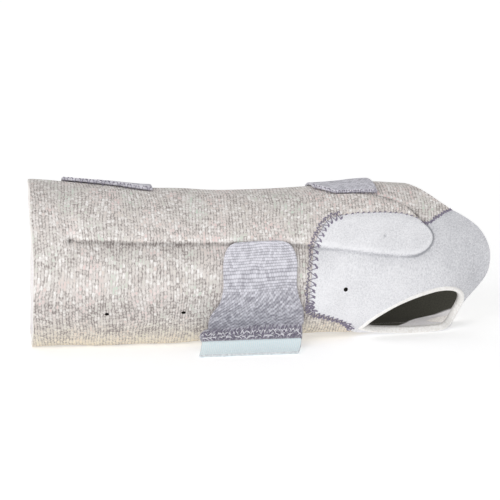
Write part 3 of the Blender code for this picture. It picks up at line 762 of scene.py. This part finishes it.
def paintedCreaseShading(along, around):
    # painted shade along the stay pocket's creases, in the dart and at the pucker, and painted highlight on the
    # raised side of each crease (below 0)
    inside = insidePocket(along, around)
    crisp = smoothStep((along - pocket["crispFrom"]) / 0.02)
    low = smoothStep((52 - around) / 8)
    left = smoothStep((along - pocket["start"]) / 0.004)
    onSleeve = bell(inside, -0.0004, 0.0010) * 0.66 + bell(inside, -0.0040, 0.0040) * 0.20
    onSleeve = onSleeve - bell(inside, 0.0018, 0.0014) * 0.34
    end = smoothStep((along - 0.192) / 0.010)
    onPalm = bell(inside, -0.0006, 0.0007 - 0.0002 * end) * (0.40 + 0.85 * end)
    onPalm = onPalm - bell(inside, 0.0012, 0.0012) * 0.16 + bell(inside, -0.0025, 0.0025) * 0.12
    ridge = smoothStep((along - 0.172) / 0.012) * (1 - low)
    onRidge = bell(inside, 0.0016, 0.0020) * 0.45 - bell(inside, -0.0018, 0.0016) * 0.65
    shade = low * left * (onSleeve * (1 - crisp) + onPalm * crisp) + ridge * onRidge
    dart = np.hypot(along - pocket["start"], (around - 21.5) * degree)
    pucker = np.hypot(along - dents["puckerAlong"], (around - dents["puckerAround"]) * degree)
    shade = shade + bell(dart, 0, 0.0012) * 1.6 + bell(pucker, 0, 0.0006) * 0.7
    return shade


def paintCreaseShading(piece):
    # the painted crease shade and highlight, stored on each corner as the crease attribute
    mesh = piece.data
    places = np.zeros(2 * len(mesh.loops), np.float32)
    mesh.uv_layers["place"].data.foreach_get("uv", places)
    places = places.reshape(-1, 2).astype(float)
    paintedShading = mesh.attributes.new("crease", "FLOAT", "CORNER")
    paintedShading.data.foreach_set("value", paintedCreaseShading(places[:, 0], places[:, 1] / degree).astype(np.float32))


def settle(piece, slot, *nodes):
    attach(piece, "root")
    if nodes:
        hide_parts(*nodes)


vents = {
    "diameter": 0.0024,
    "sides": 18,
    "spacing": 0.040,
    "start": 0.037,
    "around": -23.0,
    "front": 2,
    "back": 4,
    "palmPast": 0.0185,
    "palmAround": -12.5,
}


def ventPlug(name, places, materials, tall=0.68):
    turn = np.linspace(0, 2 * np.pi, vents["sides"], endpoint=False)
    outer, inner = [], []
    for along, around in places:
        centre, normal = bareSkin(along, around), skinNormal(along, around)
        sideways = np.cross(normal, [1.0, 0.0, 0.0])
        sideways /= np.linalg.norm(sideways)
        forward = np.cross(sideways, normal)
        ring = np.cos(turn)[:, None] * forward + tall * np.sin(turn)[:, None] * sideways
        ring = ring * vents["diameter"] / 2
        outer.append(centre + ring + normal * 0.004)
        inner.append(centre + ring - normal * (form["wall"] + 0.004))
    # material 3, the painted vent shade, goes onto the holes' cut walls
    return ringPlug(name, outer, inner, materials, kind=3)


# The sleeve

sleeveLook = {"rows": 140, "frontColumns": 150, "backColumns": 66, "edgeWave": 0.0003, "edgeFlare": 0.0020}


def makeSleeve():
    materials = [knit, liningCloth, foam, paintedVentShade]
    turns = np.concatenate([np.linspace(-90, 105, sleeveLook["frontColumns"], endpoint=False),
                            np.linspace(105, 270, sleeveLook["backColumns"] + 1)])
    count = len(turns) - 1

    def places(s, t):
        around = np.interp(t * count, np.arange(count + 1), turns)
        wave = np.sin(np.radians(around * 7)) + 0.6 * np.sin(np.radians(around * 17 + 40))
        flare = sleeveLook["edgeFlare"] * (0.3 + 0.7 * np.abs(np.sin(np.radians(around))))
        start = (sleeveLook["edgeWave"] * (1 + wave / 1.6) - flare) * (1 - s) ** 6
        return s * rimReach(around) + start, around

    sleeve = wall("sleeve_cover", places, skin, lining, sleeveLook["rows"], count, materials, tube=True)
    s1 = 1 + 2 / palm["rows"]

    def grown(s, t):
        last = 1 - 1 / 26
        along, around = palmPlaces(np.minimum(s * s1, 1.0), t, palm["gap"])
        beforeAlong, beforeAround = palmPlaces(np.full_like(s, last), t, palm["gap"])
        past = np.maximum(s * s1 - 1.0, 0.0) * 26
        return along + (along - beforeAlong) * past, around + (around - beforeAround) * past

    cutter = wall("palm_place", grown, lambda a, b: bareSkin(a, b) + skinNormal(a, b) * 0.0045,
                  lambda a, b: lining(a, b, form["wall"] + 0.002), 64, 64, materials, bulge=0.0)
    cutter.data.polygons.foreach_set("material_index", np.full(len(cutter.data.polygons), 2, np.int32))
    cut(sleeve, cutter)
    spots = [(vents["start"] + k * vents["spacing"], vents["around"]) for k in range(vents["front"])]
    spots += [(vents["start"] + k * vents["spacing"], 180 - vents["around"]) for k in range(vents["back"])]
    cut(sleeve, ventPlug("sleeve_vents", spots, materials))
    smoothByAngle(sleeve)
    paintCreaseShading(sleeve)
    settle(sleeve, "melange_knit", "sleeve")
    print("sleeve made", len(sleeve.data.polygons))


makeSleeve()

# The palm panel, its thumb hole and the binding around the hole

hole = {
    "length": 0.0600,
    "shortOfRim": 0.0105,
    "top": -15.0,
    "bottom": -64.0,
    "points": 120,
    "bindingWidth": 0.0017,
    "bindingLift": 0.00045,
}
holeOutline = {
    "along": [0.00, 0.09, 0.22, 0.36, 0.52, 0.68, 0.82, 0.94, 1.00, 0.98, 0.89, 0.72, 0.47, 0.20],
    "up": [0.19, 0.46, 0.68, 0.83, 0.94, 1.00, 0.98, 0.86, 0.66, 0.42, 0.20, 0.05, 0.00, 0.03],
}


def holePlaces(count):
    along = sleeveLength - hole["shortOfRim"] - hole["length"] + hole["length"] * np.array(holeOutline["along"])
    around = hole["bottom"] + (hole["top"] - hole["bottom"]) * np.array(holeOutline["up"])
    return evenPath([*along, along[0]], [*around, around[0]], np.linspace(0, 1, count + 1))[:-1]


def makePalm():
    materials = [brushed, liningCloth, foam, paintedVentShade]
    panel = wall("palm_cover", palmPlaces, skin, lining, palm["rows"], palm["columns"], materials)
    edge = holePlaces(hole["points"])
    plug = ringPlug("thumb_place", [bareSkin(edge[:, 0], edge[:, 1]) + skinNormal(edge[:, 0], edge[:, 1]) * 0.010],
                    [lining(edge[:, 0], edge[:, 1], form["wall"] + 0.006)], materials)
    cut(panel, plug)
    cut(panel, ventPlug("palm_vent", [(palmStart + vents["palmPast"], vents["palmAround"])], materials, tall=1.0))
    smoothByAngle(panel)
    paintCreaseShading(panel)
    settle(panel, "brushed_palm", "palm_panel")
    print("palm panel made", len(panel.data.polygons))


makePalm()

bindingProfile = {
    "aside": [-0.0002, -0.0003, -0.0003, 0.0000, 0.0006, 0.0012, 0.0017, 0.0019, 0.0012, 0.0005],
    "lift": [-0.0034, -0.0018, -0.0002, 0.0004, 0.0006, 0.0005, 0.0001, -0.0005, -0.0012, -0.0028],
}


def makeBinding():
    # a soft rounded edge turned over the thumb hole's cut wall
    path = holePlaces(160)
    flat = path * [1, degree]
    ahead = np.roll(flat, -1, axis=0) - np.roll(flat, 1, axis=0)
    side = np.stack([-ahead[:, 1], ahead[:, 0]], axis=-1)
    side /= np.linalg.norm(side, axis=1, keepdims=True)
    rings = []
    for aside, lift in zip(bindingProfile["aside"], bindingProfile["lift"]):
        places = (flat + side * aside) / [1, degree]
        rings.append(bareSkin(places[:, 0], places[:, 1]) + skinNormal(places[:, 0], places[:, 1]) * lift)
    n, count = len(path), len(rings)
    faces = [(j * n + k, j * n + (k + 1) % n, (j + 1) % count * n + (k + 1) % n, (j + 1) % count * n + k)
             for j in range(count) for k in range(n)]
    settle(newPiece("thumb_hole_rim", np.concatenate(rings), faces, [binding]), "brushed_palm")


makeBinding()


# Threads

def sew(name, surface, starts, ends, radius, rise, material, steps=6, sides=6, sink=0.0002):
    # short threads over a surface, each rising from the cloth and diving back into it
    starts, ends = np.asarray(starts, float), np.asarray(ends, float)
    share = np.linspace(0, 1, steps)
    places = starts[:, None] + (ends - starts)[:, None] * share[None, :, None]
    height = np.broadcast_to(rise * np.sin(np.pi * share) ** 0.6 - sink, places.shape[:2])

    def at(extra):
        flat = surface(places[..., 0].ravel(), places[..., 1].ravel(), (height + extra).ravel())
        return flat.reshape(*places.shape[:2], 3)

    line = at(0.0)
    up = at(0.001) - line
    up /= np.linalg.norm(up, axis=-1, keepdims=True)
    ahead = np.gradient(line, axis=1)
    ahead /= np.maximum(np.linalg.norm(ahead, axis=-1, keepdims=True), 1e-9)
    side = np.cross(ahead, up)
    turn = np.linspace(0, 2 * np.pi, sides, endpoint=False)
    taper = (0.75 + 0.25 * np.sin(np.pi * share))[None, :, None, None]
    points = line[:, :, None] + radius * taper * (np.cos(turn)[:, None] * side[:, :, None]
                                                  + np.sin(turn)[:, None] * up[:, :, None])
    faces = []
    for k in range(len(starts)):
        base = k * steps * sides
        for j in range(steps - 1):
            a, b = base + j * sides, base + (j + 1) * sides
            faces += [(a + m, a + (m + 1) % sides, b + (m + 1) % sides, b + m) for m in range(sides)]
        faces += [tuple(range(base, base + sides)), tuple(range(base + (steps - 1) * sides, base + steps * sides))]
    return newPiece(name, points.reshape(-1, 3), faces, [material])


def pathRun(path, pitch):
    # even steps along a line of places
    run = np.concatenate([[0.0], np.cumsum(np.hypot(np.diff(path[:, 0]), np.diff(path[:, 1]) * degree))])
    count = max(2, round(run[-1] / pitch))
    shares = np.linspace(0, run[-1], count + 1)
    return np.stack([np.interp(shares, run, path[:, k]) for k in (0, 1)], axis=-1)


def besides(path, distances):
    # each place moved to its left by its own distance
    return path + (moveAside(path, 1.0) - path) * np.asarray(distances)[:, None]


def zigzag(path, pitch, width, aside=0.0, jitter=0.0):
    # threads that cross from side to side of a line, two for each pitch
    middle = pathRun(path, pitch / 2)
    swing = np.where(np.arange(len(middle)) % 2, 0.5, -0.5) * width
    points = besides(middle, aside + swing) + chance.normal(0, max(jitter, 1e-9), middle.shape) * [1, 1 / degree]
    return points[:-1], points[1:]


def dashes(path, pitch, length, aside=0.0, slant=0.0, jitter=0.0):
    # one stroke for each pitch, along the line or slanting across it
    middle = pathRun(path, pitch)
    ahead = np.gradient(middle * [1, degree], axis=0)
    ahead /= np.linalg.norm(ahead, axis=1, keepdims=True)
    middle = besides(middle, np.full(len(middle), aside))
    middle = middle + chance.normal(0, max(jitter, 1e-9), middle.shape) * [1, 1 / degree]
    side = np.stack([-ahead[:, 1], ahead[:, 0]], axis=-1)
    reach = (ahead * np.cos(slant) + side * np.sin(slant)) * length / 2 / [1, degree]
    return middle - reach, middle + reach


seam = {
    "pitch": 0.0031,
    "width": 0.0046,
    "rise": 0.0004,
    "thin": 0.00020,
    "thick": 0.00048,
    "seed": 4,
}
chance = np.random.default_rng(seam["seed"])


def stitch(name, threads, radius, material=darkThread, rise=None):
    piece = sew(name, skin, *threads, radius, rise or seam["rise"], material)
    settle(piece, "strap_knit")


def makeSeam():
    under, left, top, edge = palmOutline(np.linspace(0, 1, 161))
    corner = int(len(top) * 0.15)
    upright = np.concatenate([left[(left[:, 1] > -30.5)], top[1:corner]])
    step = left[(left[:, 1] <= -30) & (left[:, 1] > -60)][::-1]
    pitch, width = seam["pitch"], seam["width"]
    stitch("upright_seam", zigzag(upright, pitch, width, -0.0006, 0.00012), seam["thin"])
    stitch("upright_hooks", dashes(upright, pitch, 0.0023, -0.0019, 0.75, 0.00015), seam["thick"])
    stitch("upright_loops", zigzag(upright, pitch / 2, 0.0017, 0.0019, 0.0003), 0.00028)
    stitch("upright_flecks", dashes(upright, pitch / 2, 0.0013, 0.0001, 1.2, 0.0004), 0.00022, paleThread, 0.0006)
    middle = top[corner:int(len(top) * 0.72)]
    stitch("top_seam", dashes(middle, 0.0030, 0.0017, 0.0001, 0.45, 0.0001), 0.00032)
    stitch("top_seam_pale", dashes(middle, 0.0030, 0.0014, -0.0006, -0.9, 0.0002), 0.00022, paleThread)
    last = top[int(len(top) * 0.72):]
    stitch("end_seam", zigzag(last, 0.0019, 0.0022, 0.0002, 0.0002), 0.00028)
    stitch("end_seam_back", zigzag(last, 0.0014, 0.0016, 0.0, 0.0003), 0.00022)
    stitch("under_seam", zigzag(step, 0.0029, 0.0042, -0.0006, 0.0002), 0.00030)
    stitch("under_seam_loops", zigzag(step, 0.0021, 0.0022, -0.0012, 0.0003), 0.00024)
    bar = step[int(len(step) * 0.72):]
    stitch("bar_tack", zigzag(bar, 0.0018, 0.0052, -0.0004, 0.0004), 0.00028)
    stitch("bar_tack_flecks", dashes(bar, 0.0014, 0.0018, 0.0004, 0.8, 0.0008), 0.00022, paleThread, 0.0007)
    knot = upright[:int(len(upright) * 0.12)]
    stitch("corner_stitches", zigzag(knot, 0.0016, 0.0052, 0.0, 0.0005), 0.00030)


makeSeam()
print("seams sewn")

# The wrist strap and its tab

wristStrap = {
    "width": 0.0375,
    "toPalm": 0.0078,
    "root": 21.5,
    "leaves": -41.0,
    "lying": 0.86,
    "easing": 0.06,
    "reach": 0.008,
    "height": 0.0040,
    "tilt": 1.0,
    "tabTilt": 0.25,
    "drop": 1.5,
    "tabDrop": 2.2,
    "tabLength": 0.016,
    "thickness": 0.0013,
    "tabThickness": 0.0015,
    "gap": 0.0007,
    "floorGap": 0.0003,
    "meet": 0.0003,
    "seed": 9,
}
wristStrapStart = palmStart - wristStrap["toPalm"] - wristStrap["width"]
wristSides = {
    "down": [0.00, 0.02, 0.05, 0.09, 0.17, 0.48, 0.62, 0.74, 0.86, 1.00],
    "left": [-0.18, -0.12, -0.08, -0.05, -0.02, 0.00, 0.05, 0.15, 0.19, 0.19],
    "right": [-0.24, -0.15, -0.09, -0.05, -0.01, 0.01, 0.05, 0.10, 0.12, 0.13],
}
flapSides = {
    "run": [0.0, 0.12, 1.0, 2.0],
    "left": [0.19, 0.25, 0.30, 0.38],
    "right": [0.13, 0.13, 0.10, 0.00],
}


def strapSides(table, key, at):
    left = wristStrapStart - wristStrap["width"] * smoothCurve(table, key, "left", at)
    right = wristStrapStart + wristStrap["width"] * (1 + smoothCurve(table, key, "right", at))
    return left, right


def flapPoint(across, run, lift):
    # run is 0 where the strap leaves the sleeve, 1 at the tab and 2 at the tab's end
    left, right = strapSides(wristSides, "down", np.ones_like(across))
    start = strapSkin(left + (right - left) * across, wristStrap["leaves"], wristStrap["gap"])
    left, right = strapSides(flapSides, "run", run)
    first, second = np.minimum(run, 1.0), np.maximum(run - 1.0, 0.0)
    y = start[..., 1] - wristStrap["reach"] * first - wristStrap["tabLength"] * second
    drop = (start[..., 2] - wristStrap["height"]) * (1 - (1 - first) ** wristStrap["drop"])
    low = wristStrap["floorGap"] + (wristStrap["height"] - wristStrap["floorGap"]) * (1 - second) ** wristStrap["tabDrop"]
    z = np.where(run <= 1.0, start[..., 2] - drop, low)
    slope = wristStrap["tabTilt"] * (1 - second) + (wristStrap["tilt"] - wristStrap["tabTilt"]) * (1 - first)
    outward = np.stack([np.zeros_like(slope), -slope, np.ones_like(slope)], axis=-1)
    outward /= np.linalg.norm(outward, axis=-1, keepdims=True)
    return np.stack([braceX + left + (right - left) * across, y, z], axis=-1) + outward * lift[..., None]


def wristStrapPoint(across, down, lift):
    across, down, lift = np.broadcast_arrays(np.asarray(across, float), down, lift)
    lyingShare = np.minimum(down / wristStrap["lying"], 1.0)
    around = wristStrap["root"] + (wristStrap["leaves"] - wristStrap["root"]) * lyingShare
    left, right = strapSides(wristSides, "down", lyingShare)
    lying = strapSkin(left + (right - left) * across, around, wristStrap["gap"] + lift)
    run = np.maximum((down - wristStrap["lying"]) / (1 - wristStrap["lying"]), 0.0)
    free = flapPoint(across, run, lift)
    easing = smoothStep((down - wristStrap["lying"]) / wristStrap["easing"] + 1)[..., None]
    isLying = down[..., None] <= wristStrap["lying"]
    return np.where(isLying, lying, free * easing + lying * (1 - easing))


def makeWristStrap():
    materials = [strapCloth, strapCloth, strapCloth]
    thick, tabThick = wristStrap["thickness"], wristStrap["tabThickness"]
    strap = wall("wrist_strap_cover", lambda s, t: (s, t), lambda a, b: wristStrapPoint(a, b, thick),
                 lambda a, b: wristStrapPoint(a, b, 0.0), 56, 90, materials, bulge=0.0004,
                 uvScale=(wristStrap["width"] * 1.15, 0.055))
    settle(strap, "strap_knit", "wrist_strap")
    gap = wristStrap["meet"] / wristStrap["tabLength"]

    def tab(across, down, lift):
        return flapPoint(across, 1.0 + gap + (1 - gap) * down, np.broadcast_to(lift, across.shape))

    ribs = 50
    def ribbed(across, down):
        return tab(across, down, tabThick + 0.00010 * np.cos(2 * np.pi * ribs * across))

    piece = wall("wrist_tab_cover", lambda s, t: (s, t), ribbed, lambda a, b: tab(a, b, 0.0), 400, 14,
                 [tape, tape, tapeEdge], bulge=0.0003, uvScale=(0.055, wristStrap["tabLength"]))
    settle(piece, "hook_tab", "wrist_strap_tab")

    # dense rows of stitches over the end of the strap, with pale flecks
    def onStrap(across, down, lift):
        return wristStrapPoint(across, down, thick + lift)

    chance = np.random.default_rng(wristStrap["seed"])

    def scatter(count, low, high, lean, spread):
        x = (np.arange(count) + 0.5) / count + chance.normal(0, spread / count, count)
        tilt = lean * np.where(np.arange(count) % 2, 1, -1) * chance.uniform(0.5, 1.3, count) / count
        starts = np.stack([x - tilt, low + chance.normal(0, 0.007, count)], axis=-1)
        ends = np.stack([x + tilt, high + chance.normal(0, 0.007, count)], axis=-1)
        return np.clip(starts, 0.008, 0.99), np.clip(ends, 0.008, 0.99)

    for name, threads, radius, rise, colour in [
        ("wrist_band_threads", scatter(46, 0.880, 0.930, 0.45, 0.2), 0.00030, 0.0004, darkThread),
        ("wrist_band_middle", scatter(52, 0.915, 0.955, 0.60, 0.3), 0.00026, 0.0005, darkThread),
        ("wrist_band_lower", scatter(50, 0.940, 0.988, 0.45, 0.2), 0.00030, 0.0004, darkThread),
        ("wrist_band_flecks", scatter(56, 0.905, 0.935, 0.9, 0.8), 0.00026, 0.0008, paleThread),
        ("wrist_band_pale", scatter(40, 0.945, 0.970, 1.1, 0.9), 0.00026, 0.0008, paleThread),
    ]:
        piece = sew(name, onStrap, *threads, radius, rise, colour)
        settle(piece, "strap_knit")
    print("wrist strap made")


makeWristStrap()

# The forearm and hand straps, over the crest and down the back

bands = {
    "forearm": {
        "start": 0.016, "width": 0.047, "far": 192.0, "tab": 0.022, "stitches": 16,
        "sewn": {"across": [0.00, 0.33, 0.67, 1.00], "around": [99, 91, 85, 80]},
    },
    "hand": {
        "start": palmStart + 0.006, "width": 0.032, "far": 196.0, "tab": 0.020, "stitches": 18,
        "sewn": {"across": [0.00, 0.33, 0.67, 1.00], "around": [82, 66, 64, 62.5]},
    },
}
bandLook = {"thickness": 0.0013, "tabThickness": 0.0015, "gap": 0.0007, "corner": 0.007, "ribPitch": 0.0011}


def makeBand(name, band):
    middle, width, far = band["start"] + band["width"] / 2, band["width"], band["far"]
    tabEnd = far + band["tab"] / degree
    meet = 0.0003 / degree
    thick, tabThick = bandLook["thickness"], bandLook["tabThickness"]
    long = (far - band["sewn"]["around"][1]) * degree * 1.08

    def strap(across, down, lift):
        begin = np.interp(across, band["sewn"]["across"], band["sewn"]["around"])
        return strapSkin(band["start"] + width * across, begin + (far - begin) * down, bandLook["gap"] + lift)

    def tab(across, down, lift):
        around = far + meet + (tabEnd - far - meet) * down
        short = np.clip(bandLook["corner"] - (tabEnd - around) * degree, 0.0, bandLook["corner"])
        inset = bandLook["corner"] - np.sqrt(np.maximum(bandLook["corner"] ** 2 - short**2, 0.0))
        return strapSkin(middle + (width / 2 - inset) * (2 * across - 1), around, bandLook["gap"] + lift)

    cover = wall(name + "_strap_cover", lambda s, t: (s, t), lambda a, b: strap(a, b, thick),
                 lambda a, b: strap(a, b, 0.0), 40, 100, [strapCloth] * 3, bulge=0.0003, uvScale=(width, long))
    settle(cover, "strap_knit", name + "_strap")
    ribs = round(width / bandLook["ribPitch"])

    def ribbed(across, down):
        return tab(across, down, tabThick + 0.00010 * np.cos(2 * np.pi * ribs * across))

    end = wall(name + "_tab_cover", lambda s, t: (s, t), ribbed, lambda a, b: tab(a, b, 0.0), 8 * ribs, 18,
               [tape, tape, tapeEdge], bulge=0.0003, uvScale=(width, band["tab"]))
    settle(end, "hook_tab", name + "_strap_tab")

    chance = np.random.default_rng(band["stitches"])

    def overEdge(across, inward, lift):
        # inward is the distance from the sewn edge, onto the strap or off it
        around = np.interp(across, band["sewn"]["across"], band["sewn"]["around"]) + inward / degree
        base = 0.0002 + (bandLook["gap"] + thick) * smoothStep((inward + 0.0010) / 0.0012)
        return strapSkin(band["start"] + width * across, around, base + lift)

    def overcast(label, count, low, high, lean, radius, colour, surface=overEdge):
        x = (np.arange(count) + 0.5) / count + chance.normal(0, 0.15 / count, count)
        tilt = lean * np.where(np.arange(count) % 2, 1, -1) / count
        starts = np.stack([x - tilt, low + chance.normal(0, 0.0003, count)], axis=-1)
        ends = np.stack([x + tilt, high + chance.normal(0, 0.0003, count)], axis=-1)
        starts[:, 0], ends[:, 0] = np.clip(starts[:, 0], 0.01, 0.99), np.clip(ends[:, 0], 0.01, 0.99)
        piece = sew(name + label, surface, starts, ends, radius, 0.00035, colour)
        settle(piece, "strap_knit")

    count = band["stitches"]
    overcast("_strap_sewn_edge", 3 * count // 2, -0.0012, 0.0016, 0.4, 0.00024, darkThread)
    overcast("_strap_sewn_flecks", count // 2, 0.0002, 0.0014, 0.9, 0.00024, paleThread)

    def besideTab(across, inward, lift):
        return strapSkin(band["start"] + width * across, far - inward / degree, bandLook["gap"] + thick + lift)

    overcast("_strap_tab_stitches", 2 * count, 0.0015, 0.0045, 0.4, 0.00028, darkThread, besideTab)


for name, band in bands.items():
    makeBand(name, band)
print("other straps made")

# Floor, lights and camera

studio = {
    "floorFront": -1.2,
    "floorBack": 1.1,
    "backdropHeight": 1.6,
    "floorColour": (0.93, 0.93, 0.93, 1.0),
    "floorGlow": 0.34,
    "world": 0.58,
    "keyPlace": (-0.75, -1.10, 0.52),
    "keySize": 0.8,
    "keyPower": 7.0,
}
view = {
    "aimX": 0.116,
    "aimZ": 0.0468,
    "distance": 1.1,
    "elevation": 10.0,
    "azimuth": -7.0,
    "pixelsPerLength": 2046.0,
    "imageSize": 500.0,
    "sensor": 36.0,
}


def makeStudio():
    # a floor that curves up behind
    turn = np.linspace(0, math.pi / 2, 13)
    profile = [(studio["floorFront"], 0.0)]
    profile += [(studio["floorBack"] + 0.4 * math.sin(a), 0.4 * (1 - math.cos(a))) for a in turn]
    profile.append((studio["floorBack"] + 0.4, studio["backdropHeight"]))
    points = [(x, y, z) for y, z in profile for x in (-2.0, 2.0)]
    faces = [(2 * k, 2 * k + 1, 2 * k + 3, 2 * k + 2) for k in range(len(profile) - 1)]
    paint = bpy.data.materials.new("floorPaint")
    paint.use_nodes = True
    shader = paint.node_tree.nodes["Principled BSDF"]
    shader.inputs["Base Color"].default_value = studio["floorColour"]
    shader.inputs["Roughness"].default_value = 0.9
    shader.inputs["Specular IOR Level"].default_value = 0.0
    shader.inputs["Emission Color"].default_value = (1, 1, 1, 1)
    shader.inputs["Emission Strength"].default_value = studio["floorGlow"]
    newPiece("floor", points, faces, [paint])

    world = bpy.data.worlds.new("studioLight")
    bpy.context.scene.world = world
    world.use_nodes = True
    world.node_tree.nodes["Background"].inputs["Color"].default_value = (1, 1, 1, 1)
    world.node_tree.nodes["Background"].inputs["Strength"].default_value = studio["world"]

    bpy.ops.object.light_add(type="AREA", location=studio["keyPlace"])
    lamp = bpy.context.active_object
    lamp.name = "key"
    lamp.data.size = studio["keySize"]
    lamp.data.energy = studio["keyPower"]
    lamp.rotation_euler = (Vector((0, 0, 0.04)) - lamp.location).to_track_quat("-Z", "Y").to_euler()

    azimuth, elevation = math.radians(view["azimuth"]), math.radians(view["elevation"])
    back = Vector((math.sin(azimuth) * math.cos(elevation), -math.cos(azimuth) * math.cos(elevation),
                   math.sin(elevation)))
    aim = Vector((braceX + view["aimX"], braceY, view["aimZ"]))
    bpy.ops.object.camera_add(location=aim + back * view["distance"])
    camera = bpy.context.active_object
    camera.rotation_euler = (-back).to_track_quat("-Z", "Y").to_euler()
    camera.data.sensor_width = view["sensor"]
    camera.data.lens = view["pixelsPerLength"] * view["sensor"] / view["imageSize"]
    bpy.context.scene.camera = camera
    bpy.context.scene.view_settings.view_transform = "Standard"


makeStudio()
print("studio made")

bpy.context.view_layer.update()
